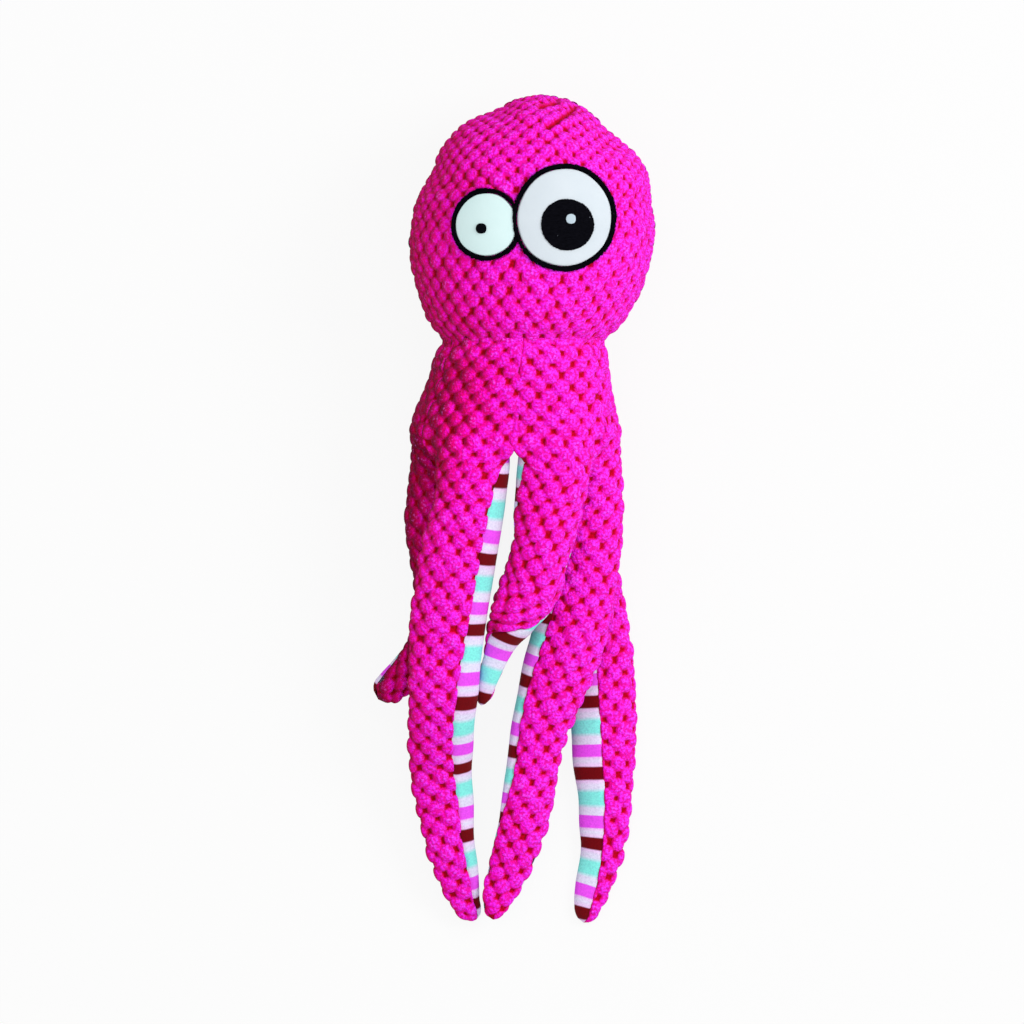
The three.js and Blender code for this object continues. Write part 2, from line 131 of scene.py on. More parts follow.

# Each tentacle's route, near enough as in the CAD part: down, side, wide, level, turn. The turn
# is how far the side seams have rolled, and ease is how far that roll is smoothed. Sector is the
# part of the body that its panel covers. Red is where the first dark red stripe lies on the striped
# cloth, which repeats every so many mm, one way or the other. Shade is painted shade that darkens
# the pile of a tentacle that lies in the dark, and sunk lowers its tufts, so that a neighbour that
# swings passes it.
TENTACLES = {
    "front_left": dict(bend=0.45, sector=(90, 150), red=25.5, repeat=39.3, way=1, rows=[
        [0, -0.39, 0.98, 2, 20], [0.045, -0.39, 0.96, 2, 35], [0.14, -0.42, 0.91, 2, 57],
        [0.265, -0.54, 1, 2, 56], [0.41, -0.64, 0.97, 2, 58], [0.535, -0.675, 0.89, 2, 70],
        [0.63, -0.7, 0.84, 1.6, 70], [0.7, -0.695, 0.8, 1.2, 66], [0.77, -0.655, 0.73, 1, 62],
        [0.845, -0.61, 0.64, 0.95, 60], [0.92, -0.52, 0.52, 0.7, 58], [0.965, -0.45, 0.38, 0.4, 58],
        [0.997, -0.36, 0.2, 0.25, 58]]),
    "front_right": dict(bend=0.5, sector=(30, 90), red=36, repeat=37.5, way=-1, ease=5, rows=[
        [0, 0.4, 0.99, 2, -38], [0.045, 0.395, 0.96, 2, -38], [0.105, 0.369, 0.93, 2, -30],
        [0.15, 0.33, 0.9, 2, -18], [0.19, 0.303, 0.84, 2, -8], [0.225, 0.285, 0.75, 2, 0],
        [0.265, 0.235, 0.75, 2, 5], [0.31, 0.18, 0.8, 2, 0], [0.37, 0.02, 0.7, 2, 12],
        [0.43, -0.12, 0.38, 2, 168], [0.5, -0.235, 0.28, 2, 180], [0.56, -0.315, 0.17, 2, 180]]),
    "left": dict(bend=0.5, sector=(150, 210), red=40, repeat=37.5, way=1, shade=0.32, sunk=1.0, rows=[
        [0, -0.63, 0.98, 1, 75], [0.045, -0.63, 0.96, 1, 75], [0.12, -0.685, 0.91, 1, 65],
        [0.185, -0.725, 0.89, 1, 55], [0.265, -0.705, 0.81, 1, 45], [0.35, -0.69, 0.73, 1, 35],
        [0.43, -0.79, 0.62, 1, 25], [0.485, -0.98, 0.5, 1, 5], [0.52, -1.16, 0.46, 1, -20],
        [0.548, -1.3, 0.36, 1, -40]]),
    "right": dict(bend=0.45, sector=(-30, 30), red=29.9, repeat=36, way=1, rows=[
        [0, 0.66, 0.98, 1, -90], [0.045, 0.66, 0.98, 1, -85], [0.12, 0.685, 0.96, 1, -75],
        [0.205, 0.685, 0.96, 1, -65], [0.3, 0.64, 0.94, 1, -60], [0.375, 0.575, 0.96, 1, -55],
        [0.45, 0.48, 0.96, 1, -52], [0.54, 0.343, 0.85, 1, -45], [0.62, 0.235, 0.71, 1, -42],
        [0.705, 0.165, 0.67, 1, -50], [0.765, 0.12, 0.65, 1, -35], [0.83, 0.05, 0.62, 1, -5],
        [0.885, -0.035, 0.57, 1, 0], [0.935, -0.122, 0.47, 1, 0], [0.975, -0.185, 0.34, 1, 0],
        [0.997, -0.2, 0.2, 1, 0]]),
    "back_right": dict(bend=0.45, sector=(-90, -30), red=31.5, repeat=37.5, way=1, rows=[
        [0, 0.42, 0.96, 0, -125], [0.045, 0.42, 0.94, 0, -120], [0.14, 0.5, 0.9, 0, -105],
        [0.26, 0.64, 0.88, 0, -92], [0.36, 0.745, 0.87, 0, -88], [0.48, 0.825, 0.87, 0, -86],
        [0.6, 0.856, 0.86, 0, -86], [0.69, 0.865, 0.78, 0, -90], [0.754, 0.873, 0.69, 0, -90],
        [0.8, 0.867, 0.64, 0, -90], [0.845, 0.852, 0.58, 0, -90], [0.915, 0.782, 0.48, 0, -95],
        [0.957, 0.722, 0.42, 0, -105], [1.003, 0.668, 0.24, 0, -110]]),
    "back_left": dict(bend=0.45, sector=(-150, -90), red=30, repeat=37.5, way=1, rows=[
        [0, -0.39, 0.94, 0, 125], [0.045, -0.39, 0.93, 0, 120], [0.14, -0.43, 0.88, 0, 110],
        [0.265, -0.53, 0.85, 0, 100], [0.41, -0.62, 0.82, 0, 95], [0.5, -0.66, 0.76, 0, 90],
        [0.59, -0.69, 0.66, 0, 90], [0.68, -0.69, 0.52, 0, 90], [0.75, -0.67, 0.34, 0, 90],
        [0.8, -0.65, 0.18, 0, 90]]),
}


# Materials

class Signal:
    """A shader socket that takes part in sums."""

    def __init__(self, finish, socket):
        self.finish = finish
        self.socket = socket

    def _maths(self, operation, first, second):
        return self.finish.node("ShaderNodeMath", {"operation": operation}, {0: first, 1: second})

    def __add__(self, other):
        return self._maths("ADD", self, other)

    def __mul__(self, other):
        return self._maths("MULTIPLY", self, other)

    def __sub__(self, other):
        return self._maths("SUBTRACT", self, other)


class Finish:
    """A node material for one of the toy's cloths or threads."""

    def __init__(self, name):
        self.material = bpy.data.materials.new(name)
        self.material.use_nodes = True
        self.tree = self.material.node_tree
        self.shader = self.tree.nodes["Principled BSDF"]

    def node(self, kind, settings, inputs, output=0):
        made = self.tree.nodes.new(kind)
        stops = settings.pop("stops", None)
        for key, value in settings.items():
            setattr(made, key, value)
        if stops:
            elements = made.color_ramp.elements
            while len(elements) < len(stops):
                elements.new(0.5)
            for element, (position, colour) in zip(elements, stops):
                element.position = position
                element.color = (*colour, 1)
        for key, value in inputs.items():
            self.feed(made.inputs[key], value)
        return Signal(self, made.outputs[output])

    def feed(self, socket, value):
        if isinstance(value, Signal):
            self.tree.links.new(value.socket, socket)
        else:
            socket.default_value = value

    def set(self, **sockets):
        for name, value in sockets.items():
            self.feed(self.shader.inputs[name.replace("_", " ")], value)

    def place(self):
        return self.node("ShaderNodeTexCoord", {}, {}, "Object")

    def noise(self, scale, detail=3.0, roughness=0.55, vector=None):
        inputs = {
            "Vector": vector or self.place(), "Scale": scale, "Detail": detail, "Roughness": roughness}
        return self.node("ShaderNodeTexNoise", {}, inputs, "Fac")

    def blend(self, share, first, second, how="MIX"):
        inputs = {0: share, 6: first, 7: second}
        return self.node("ShaderNodeMix", {"data_type": "RGBA", "blend_type": how}, inputs, 2)

    def ramp(self, share, stops):
        return self.node("ShaderNodeValToRGB", {"stops": stops}, {0: share}, "Color")

    def mask(self, share, low, high, most=1.0):
        """Black up to the low share, and as light as most from the high one."""
        return self.ramp(share, [(low, (0, 0, 0)), (high, (most, most, most))])

    def attribute(self, name):
        return self.node("ShaderNodeAttribute", {"attribute_name": name}, {}, "Fac")

    def bump(self, height, strength, distance):
        inputs = {"Strength": strength, "Distance": distance, "Height": height}
        return self.node("ShaderNodeBump", {}, inputs, "Normal")


def colour(red, green, blue):
    """A colour as it is written in a picture, from 0 to 255, as the shader's linear light."""
    shares = [value / 255 for value in (red, green, blue)]
    return tuple(s / 12.92 if s <= 0.04045 else ((s + 0.055) / 1.055) ** 2.4 for s in shares)


def bobble_cloth():
    """Hot pink yarn in curly loops, pinker where it faces the painted light from the right and darker where
    it faces away, and red between the tufts, where painted shade darkens it.
    """
    finish = Finish("bobble_plush")
    height = finish.attribute("tuft")
    nap_and_painted_light = finish.attribute("nap_and_painted_light")
    loops = finish.noise(700, 3, 0.6)
    curls = finish.node(
        "ShaderNodeTexVoronoi", {"feature": "F1"}, {"Vector": finish.place(), "Scale": 600}, "Distance")
    patches = finish.noise(95, 2)
    # Painted light and shade: dark wine where the pile faces away from the light, bright pink where it faces
    # the light from the right.
    lit = finish.ramp(nap_and_painted_light + (patches - 0.5) * 0.3, [
        (0.1, colour(122, 0, 58)), (0.28, colour(176, 0, 90)), (0.42, colour(218, 3, 130)),
        (0.55, colour(252, 10, 192)), (0.7, colour(255, 24, 236)), (0.95, colour(255, 54, 255))])
    # Red in the hollows between the tufts: the knit's redder ground, darkened there as painted shade.
    crevice = finish.ramp(height, [
        (0.0, colour(196, 0, 40)), (0.25, colour(230, 0, 80)), (0.5, colour(252, 3, 144))])
    # Painted shade: the hollows darken further where the pile faces away from the light.
    painted_hollow_shade = finish.ramp(nap_and_painted_light, [(0.5, (0.55, 0.55, 0.5)), (0.82, (1, 1, 1))])
    crevice = finish.blend(1.0, crevice, painted_hollow_shade, "MULTIPLY")
    cloth = finish.blend(finish.mask(height, 0.2, 0.62), crevice, lit)
    grain = finish.ramp(loops - curls * 0.45, [
        (0.17, (0.9, 0.2, 0.42)), (0.31, (1, 0.74, 0.88)), (0.4, (1, 1, 1))])
    tips = finish.mask((loops - curls * 0.3) * height, 0.36, 0.52, 0.4)
    base = finish.blend(1.0, cloth, grain, "MULTIPLY")
    base = finish.blend(tips, base, (*colour(255, 120, 244), 1))
    finish.set(Base_Color=base, Roughness=0.95, Sheen_Weight=0.03, Sheen_Roughness=0.5)
    finish.set(Specular_IOR_Level=0.05, Normal=finish.bump(loops - curls, 0.8, 0.0013))
    return finish.material


def striped_fleece():
    """Fleece with stripes that are mapped along a tentacle, one set for each repeat."""
    finish = Finish("striped_fleece")
    across = finish.node("ShaderNodeUVMap", {"uv_map": "cloth"}, {})
    parts = finish.node("ShaderNodeSeparateXYZ", {}, {0: across}, "Y")
    wander = finish.noise(60, 2) * 0.03
    share = finish.node("ShaderNodeMath", {"operation": "FRACT"}, {0: parts + wander})
    red, pale, white = colour(110, 0, 10), colour(240, 204, 248), colour(228, 224, 248)
    mint, orchid = colour(134, 240, 230), colour(238, 80, 244)
    stops = [
        (0.0, red), (0.08, red), (0.1, pale), (0.16, white), (0.205, white), (0.265, mint), (0.43, mint),
        (0.49, white), (0.59, white), (0.605, orchid), (0.765, orchid), (0.785, pale), (0.83, white),
        (0.9, pale), (0.918, red),
    ]
    nap_and_painted_light = finish.noise(900, 4, 0.6)
    fuzz = finish.ramp(nap_and_painted_light, [(0.3, (0.8, 0.8, 0.84)), (0.6, (1, 1, 1))])
    base = finish.blend(1.0, finish.ramp(share, stops), fuzz, "MULTIPLY")
    finish.set(Base_Color=base, Roughness=0.88, Sheen_Weight=0.05, Specular_IOR_Level=0.1)
    finish.set(Normal=finish.bump(nap_and_painted_light, 0.4, 0.0006))
    return finish.material


def white_felt(name, low, high):
    """Pale felt that is mottled from a low to a high colour."""
    finish = Finish(name)
    mottle = finish.noise(45, 3)
    fibres = finish.noise(1300, 5, 0.7)
    base = finish.blend(mottle, (*low, 1), (*high, 1))
    finish.set(Base_Color=base, Roughness=0.85, Sheen_Weight=0.03, Specular_IOR_Level=0.1)
    finish.set(Normal=finish.bump(fibres, 0.3, 0.0004))
    return finish.material


def black_stitching():
    """Black satin thread with a little lint."""
    finish = Finish("black_stitching")
    place = finish.place()
    squeezed = finish.node("ShaderNodeMapping", {}, {"Vector": place, "Scale": (0.25, 1.8, 1)})
    threads = finish.noise(1400, 2, 0.6, squeezed)
    base = finish.ramp(threads, [(0.35, colour(1, 1, 4)), (0.7, colour(10, 10, 17))])
    lint = finish.mask(finish.noise(620, 1), 0.79, 0.82, 0.55)
    base = finish.blend(lint, base, (*colour(150, 156, 166), 1))
    finish.set(Base_Color=base, Roughness=0.8, Specular_IOR_Level=0.03)
    finish.set(Normal=finish.bump(threads, 0.5, 0.0005))
    return finish.material


BOBBLES = bobble_cloth()
STRIPES = striped_fleece()
BIG_FELT = white_felt("white_felt", colour(198, 208, 216), colour(214, 222, 228))
SMALL_FELT = white_felt("minty_felt", colour(206, 234, 234), colour(222, 244, 244))
GLINT_FELT = white_felt("dull_felt", colour(160, 178, 190), colour(196, 212, 222))
THREAD = black_stitching()


# Cloth meshes

def metres(*values):
    return tuple(value * 0.001 for value in values)


def coordinates(mesh, values="vertices", field="co"):
    """The places or normals of a mesh's vertices, one row for each."""
    flat = np.empty(len(mesh.vertices) * 3)
    getattr(mesh, values).foreach_get(field, flat)
    return flat.reshape(-1, 3)


def cloth(name, columns, rows, shape, material, slot, shade=0):
    """A grid of cloth. shape(across, along) gives its points, its map in mm and its tuft share."""
    grid = bmesh.new()
    bmesh.ops.create_grid(grid, x_segments=columns, y_segments=rows, size=1)
    mesh = bpy.data.meshes.new(name)
    grid.to_mesh(mesh)
    grid.free()
    flat = coordinates(mesh)
    across = np.unique(np.round(flat[:, 0], 6))
    along = np.unique(np.round(flat[:, 1], 6))
    column = np.searchsorted(across, np.round(flat[:, 0], 6))
    row = np.searchsorted(along, np.round(flat[:, 1], 6))
    points, where, tuft = shape((across + 1) / 2, (along + 1) / 2)
    mesh.vertices.foreach_set("co", (points[row, column] * 0.001).ravel())
    store(mesh, "tuft", tuft[row, column])
    loops = np.empty(len(mesh.loops), dtype=np.int32)
    mesh.loops.foreach_get("vertex_index", loops)
    layer = mesh.uv_layers.new(name="cloth")
    layer.data.foreach_set("uv", where[row, column][loops].astype(np.float32).ravel())
    return dress(name, mesh, material, shade)


def store(mesh, name, values):
    attribute = mesh.attributes.new(name, "FLOAT", "POINT")
    attribute.data.foreach_set("value", values.astype(np.float32).ravel())


def add_painted_light(mesh, shade):
    """Keeps how far each place of the pile faces the painted light from the toy's right, where it is painted
    pinker and lighter.

    Below the hem the painted shade takes some of it away again, for a tentacle that lies in the dark, and a
    painted shadow takes some away in a patch.
    """
    places = coordinates(mesh) * 1000
    below_hem = smooth_step((SHADE_START - places[:, 1]) / SHADE_LENGTH)
    # A painted shadow that darkens a patch of the pile by the body's left side.
    x, y, wide, tall, depth = PAINTED_SHADOW_PATCH
    painted_shadow = depth * np.exp(-((places[:, 0] - x) / wide) ** 2 - ((places[:, 1] - y) / tall) ** 2)
    facing_light = PAINTED_LIGHT_SHARE * coordinates(mesh, "vertex_normals", "vector") @ PAINTED_LIGHT_FROM
    store(mesh, "nap_and_painted_light", np.clip(PAINTED_LIGHT_LEVEL + facing_light - shade * below_hem - painted_shadow, 0, 1))


def dress(name, mesh, material, shade=0):
    """A piece in the scene with its material."""
    mesh.shade_smooth()
    if material is BOBBLES:
        add_painted_light(mesh, shade)
    mesh.materials.append(material)
    piece = bpy.data.objects.new(name, mesh)
    scene.collection.objects.link(piece)
    return piece


def close_seams(piece, merge=0.00001):
    """Joins the two ends of a ring of cloth."""
    shape = bmesh.new()
    shape.from_mesh(piece.data)
    bmesh.ops.remove_doubles(shape, verts=shape.verts, dist=merge)
    bmesh.ops.dissolve_degenerate(shape, edges=shape.edges, dist=merge / 2)
    shape.to_mesh(piece.data)
    shape.free()


def outward(points):
    """Unit normals of a grid of points whose columns run anticlockwise seen from its end."""
    across = np.gradient(points, axis=1)
    along = np.gradient(points, axis=0)
    normal = np.cross(across, along)
    return normal / np.maximum(np.linalg.norm(normal, axis=2, keepdims=True), 1e-9)


def scatter(first, second, seed):
    """A fixed number from 0 to 1 for each pair of whole numbers."""
    mixed = np.sin(first * 127.1 + second * 311.7 + seed * 74.7) * 43758.5453
    return mixed - np.floor(mixed)


def tufts(across, along, cloth_kind, seed):
    """The height share of staggered round tufts at places on the cloth, in mm."""
    wide, row, warp = cloth_kind["across"], cloth_kind["row"], cloth_kind["warp"]
    across = across + warp * (np.sin(along / 17.0 + seed) + 0.4 * np.sin(along / 7.1 + across / 9.0))
    along = along + warp * (np.sin(across / 15.0 + 2 * seed) + 0.4 * np.sin(across / 6.3 + along / 19.0))
    below = np.floor(along / row)
    best = np.zeros_like(across)
    for step in (-1, 0, 1, 2):
        line = below + step
        shift = np.where(np.mod(line, 2) == 0, 0.0, 0.5)
        near = np.round(across / wide - shift)
        for side in (-1, 0, 1):
            spot = near + side
            drift = scatter(spot, line, seed) - 0.5
            lift = scatter(line, spot, seed + 3)
            size = LEAST_TUFT + TUFT_SPREAD * lift
            gap_x = (across - (spot + shift + 0.1 * drift) * wide) / (cloth_kind["half_width"] * size)
            gap_y = (along - (line + 0.2 * (lift - 0.5)) * row) / (cloth_kind["half_length"] * size)
            reach = np.clip(np.hypot(gap_x, gap_y), 0, 1)
            best = np.maximum(best, (LEAST_LIFT + LIFT_SPREAD * lift) * np.sqrt(1 - reach ** 2.2))
    return best


def smooth_step(values):
    values = np.clip(values, 0, 1)
    return values * values * (3 - 2 * values)


# The head

def lean_at(y):
    """How much the head leans sideways above and below its middle, without a kink between."""
    return CHIN_LEAN + (CROWN_LEAN - CHIN_LEAN) * smooth_step(y / LEAN_BLEND + 0.5)


def head_radii(y):
    """The upright head's half sizes along each axis, above or below its middle."""
    tall = np.where(y > 0, CROWN, CHIN)
    return np.stack([np.full_like(tall, HEAD_WIDTH / 2), tall, np.full_like(tall, HEAD_DEPTH / 2)], axis=-1)


def upright_normal(point, radii):
    """Normals of the leaning head where the upright one has these points."""
    normal = point / radii ** 2
    normal[..., 1] -= lean_at(point[..., 1]) * normal[..., 0]
    return normal / np.linalg.norm(normal, axis=-1, keepdims=True)


def leaned(point):
    shift = lean_at(point[..., 1]) * point[..., 1]
    return point + shift[..., None] * np.array([1.0, 0, 0])


def dented(point):
    """The head with the flat and full places that its sewn panels leave around its outline."""
    around = np.degrees(np.arctan2(point[..., 1], point[..., 0]))
    out = np.hypot(point[..., 0], point[..., 1])
    push = np.zeros_like(out)
    for angle, depth, spread in HEAD_DENTS:
        away = np.mod(around - angle + 180, 360) - 180
        push = push + depth * np.exp(-(away / spread) ** 2)
    grow = 1 + push * np.clip(2 * out / HEAD_WIDTH, 0, 1) ** 3 / np.maximum(out, 1)
    return point * np.stack([grow, grow, np.ones_like(grow)], axis=-1)


def head_point(direction, offset):
    """Points of the head's skin in given unit directions, at an offset in mm."""
    radii = head_radii(direction[..., 1])
    point = direction * radii
    normal = upright_normal(point, radii)
    point = dented(leaned(point))
    above_neck = point[..., 1] + NECK_DROP
    inset = NECK_TUCK * np.exp(-(np.clip(above_neck, 0, None) / NECK_TUCK_LENGTH) ** 2)
    point = point + normal * offset[..., None]
    sideways = (point - np.array([-CHIN_LEAN * NECK_DROP, 0, 0])) * np.array([1, 0, 1])
    point = point - sideways * (inset / np.linalg.norm(sideways, axis=-1))[..., None]
    return point + np.array([HEAD_X, HEAD_Y, HEAD_Z])


def eye_place(spot):
    return HEAD_X + spot["x"], HEAD_Y + spot["y"]


def pressed_by_eyes(points):
    """From 0 outside both eyes to 1 under them."""
    under = np.zeros(points.shape[:-1])
    for eye in (BIG_EYE, SMALL_EYE):
        x, y = eye_place(eye)
        far = np.hypot((points[..., 0] - x) / (eye["width"] / 2 + STITCH),
                       (points[..., 1] - y) / (eye["height"] / 2 + STITCH))
        inside = smooth_step((1.03 - far) / 0.07) * (points[..., 2] > HEAD_Z)
        under = np.maximum(under, inside)
    return under


def dart(points):
    """From 0 to 1 near the short sewn folds by the crown."""
    fold = np.zeros(points.shape[:-1])
    for start, end in DARTS:
        start, end = np.array(start), np.array(end)
        line = end - start
        flat = points[..., :2] - start
        share = np.clip(flat @ line / (line @ line), 0, 1)
        away = np.linalg.norm(flat - share[..., None] * line, axis=-1)
        fold = np.maximum(fold, np.exp(-(away / DART_WIDTH) ** 2) * (points[..., 2] > HEAD_Z))
    return fold


def head_skin(name, side):
    """The front (1) or back (-1) half of the head's bobbled cloth, open at the neck."""
    ball = bmesh.new()
    bmesh.ops.create_uvsphere(ball, u_segments=HEAD_SEGMENTS[0], v_segments=HEAD_SEGMENTS[1], radius=1)
    neck = -(NECK_DROP + HEAD_UNDERLAP) / CHIN
    for place, normal in (((0, 0, 0), (0, 0, side)), ((0, neck, 0), (0, 1, 0))):
        whole = ball.verts[:] + ball.edges[:] + ball.faces[:]
        bmesh.ops.bisect_plane(
            ball, geom=whole, dist=1e-7, plane_co=place, plane_no=normal, clear_inner=True)
    mesh = bpy.data.meshes.new(name)
    ball.to_mesh(mesh)
    ball.free()
    direction = coordinates(mesh)
    polar = np.arccos(np.clip(direction[:, 2] * side, -1, 1))
    around = np.arctan2(direction[:, 1], direction[:, 0])
    across = HEAD_CLOTH[0] * polar * np.cos(around)
    along = HEAD_CLOTH[1] * polar * np.sin(around)
    height = tufts(across, along, HEAD_TUFTS, 5 + side)
    bare = head_point(direction, np.zeros(len(direction)))
    under = pressed_by_eyes(bare)
    fold = dart(bare)
    height = height * (1 - 0.9 * fold)
    tuft = HEAD_TUFTS["height"] * height * (1 - under)
    offset = TUFT_FOOT + tuft + UNDER_EYES * under - DART_DEPTH * fold
    points = head_point(direction, offset)
    points[:, 2] = np.maximum(points[:, 2], TABLE_HEIGHT)
    mesh.vertices.foreach_set("co", (points * 0.001).ravel())
    store(mesh, "tuft", height * (1 - under) + 0.5 * under)
    piece = dress(name, mesh, BOBBLES)
    return piece


def build_head():
    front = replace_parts(head_skin("head_front_skin", 1), "head_front_cover", "head_fill")
    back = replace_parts(head_skin("head_back_skin", -1), "head_back_cover")
    start, end = metres(NECK_X, NECK_Y + 0.5, HEAD_Z), metres(NECK_X, NECK_Y + 30, HEAD_Z)
    for half in (front, back):
        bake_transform(half)


# The eyes

def on_face(x, y, lift):
    """Points of the face at flat places, lifted off its skin."""
    flat_y = y - HEAD_Y
    flat_x = x - HEAD_X - lean_at(flat_y) * flat_y
    radii = head_radii(flat_y)
    inside = 1 - (flat_x / radii[..., 0]) ** 2 - (flat_y / radii[..., 1]) ** 2
    point = np.stack([flat_x, flat_y, HEAD_DEPTH / 2 * np.sqrt(np.clip(inside, 0.02, 1))], axis=-1)
    normal = upright_normal(point, radii)
    return leaned(point) + normal * np.asarray(lift)[..., None] + np.array([HEAD_X, HEAD_Y, HEAD_Z])


def patch(name, spot, lift, crown, cells, material, slot, ragged=0.0, clear_of=None):
    """A round patch on the face with a slightly crowned top and an edge that goes down."""
    x, y = eye_place(spot)

    def shape(across, along):
        u, v = np.meshgrid(across * 2 - 1, along * 2 - 1)
        disc_x, disc_y = u * np.sqrt(1 - v * v / 2), v * np.sqrt(1 - u * u / 2)
        rim = np.hypot(disc_x, disc_y)
        around = np.arctan2(disc_y, disc_x)
        rough = 1 + ragged * (scatter(np.round(around * 40), 1, 2) - 0.5) * smooth_step((rim - 0.7) / 0.3)
        rough = rough * wobble(around, spot)
        px = x + disc_x * rough * spot["width"] / 2
        py = y + disc_y * rough * spot["height"] / 2
        if clear_of:
            px, py = pushed_off(px, py, clear_of)
        edge = np.clip((rim - PATCH_RIM) / (1 - PATCH_RIM), 0, 1)
        height = lift + crown * (1 - rim ** 2) - (lift + PATCH_DEPTH) * edge ** 2
        points = on_face(px, py, height)
        return points, np.stack([u, v], axis=-1), np.ones_like(u)

    piece = cloth(name, cells, cells, shape, material, slot)
    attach(piece, "head")
    return piece


def wobble(turn, spot):
    """How far a patch's outline strays from its oval at each angle, as a share."""
    start = spot["width"]
    slow = 0.009 * np.sin(2 * turn + start) + 0.007 * np.sin(3 * turn + 2.1 * start)
    return 1 + slow + 0.004 * np.sin(7 * turn + start)


def pushed_off(px, py, spot):
    """Places moved out of a round patch to its rim, so that it cuts into what lies beside it."""
    x, y = eye_place(spot)
    far = np.hypot((px - x) / (spot["width"] / 2 + STITCH / 2),
                   (py - y) / (spot["height"] / 2 + STITCH / 2))
    grow = np.where(far < 1, 1 / np.maximum(far, 1e-3), 1)
    return x + (px - x) * grow, y + (py - y) * grow


def stitched_ring(name, spot, stitches, lift, clear_of=None):
    """A raised ring of satin stitches that run across it."""
    x, y = eye_place(spot)

    def shape(across, along):
        turn, width = np.meshgrid(along * 2 * np.pi, across, indexing="ij")
        count = np.round(along * stitches * 2)
        ragged = (scatter(count, 4, 1) - 0.5 + 1.2 * (scatter(np.floor(count / 5), 9, 2) - 0.5))[:, None]
        slow = 0.3 * np.sin(3 * turn + spot["height"]) + 0.2 * np.sin(8 * turn)
        ridge = np.where(np.mod(count, 2) == 0, 1.0, 0.8)[:, None]
        off = (width - 0.5) * (STITCH + ragged + slow) + STITCH / 2
        grow = wobble(turn, spot)
        px = x + (spot["width"] / 2 * grow + off) * np.cos(turn)
        py = y + (spot["height"] / 2 * grow + off) * np.sin(turn)
        if clear_of:
            px, py = pushed_off(px, py, clear_of)
        hump = np.sqrt(np.clip(1 - (2 * width - 1) ** 2, 0, 1))
        points = on_face(px, py, -RING_DEPTH + (lift + RING_DEPTH) * hump * ridge)
        return points, np.stack([width, turn], axis=-1), np.ones_like(turn)

    piece = cloth(name, 10, stitches * 2, shape, THREAD, "black_stitching")
    close_seams(piece)
    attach(piece, "head")
    return piece


def build_eyes():
    big = patch("big_eye_white_felt", BIG_EYE, 1.5, 0.7, 72, BIG_FELT, "white_felt")
    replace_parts(big, "big_eye_white")
    small = patch("small_eye_white_felt", SMALL_EYE, 1.2, 0.5, 60, SMALL_FELT, "white_felt",
                  clear_of=BIG_EYE)
    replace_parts(small, "small_eye_white")
    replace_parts(stitched_ring("small_eye_satin_ring", SMALL_EYE, 250, 2.2, BIG_EYE), "small_eye_stitching")
    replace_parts(stitched_ring("big_eye_satin_ring", BIG_EYE, 380, 2.6), "big_eye_stitching")
    pupil = patch("big_eye_satin_pupil", BIG_PUPIL, 2.8, 0.5, 64, THREAD, "black_stitching", 0.03)
    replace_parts(pupil, "big_eye_pupil")
    dot = patch("small_eye_satin_pupil", SMALL_PUPIL, 2.4, 0.3, 24, THREAD, "black_stitching", 0.08)
    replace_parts(dot, "small_eye_pupil")
    light = patch("big_eye_felt_glint", GLINT, 3.9, 0.3, 24, GLINT_FELT, "white_felt", 0.1)
    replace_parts(light, "big_eye_glint")


# The tentacles' routes

def curve_points(corners, samples):
    """The smooth centripetal curve that the CAD part uses, through its corner points."""
    first = 2 * corners[0] - corners[1]
    last = 2 * corners[-1] - corners[-2]
    line = np.vstack([first, corners, last])
    spots = np.linspace(0, len(corners) - 1, samples)
    whole = np.minimum(spots.astype(int), len(corners) - 2)
    part = (spots - whole)[:, None]
    a, b, c, d = (line[whole + k] for k in range(4))
    gaps = [np.maximum(np.sum((q - p) ** 2, axis=1), 1e-9)[:, None] ** 0.25
            for p, q in ((a, b), (b, c), (c, d))]
    slope_b = ((b - a) / gaps[0] - (c - a) / (gaps[0] + gaps[1]) + (c - b) / gaps[1]) * gaps[1]
    slope_c = ((c - b) / gaps[1] - (d - b) / (gaps[1] + gaps[2]) + (d - c) / gaps[2]) * gaps[1]
    cube = 2 * b - 2 * c + slope_b + slope_c
    square = -3 * b + 3 * c - 2 * slope_b - slope_c
    return b + part * (slope_b + part * (square + part * cube)), spots


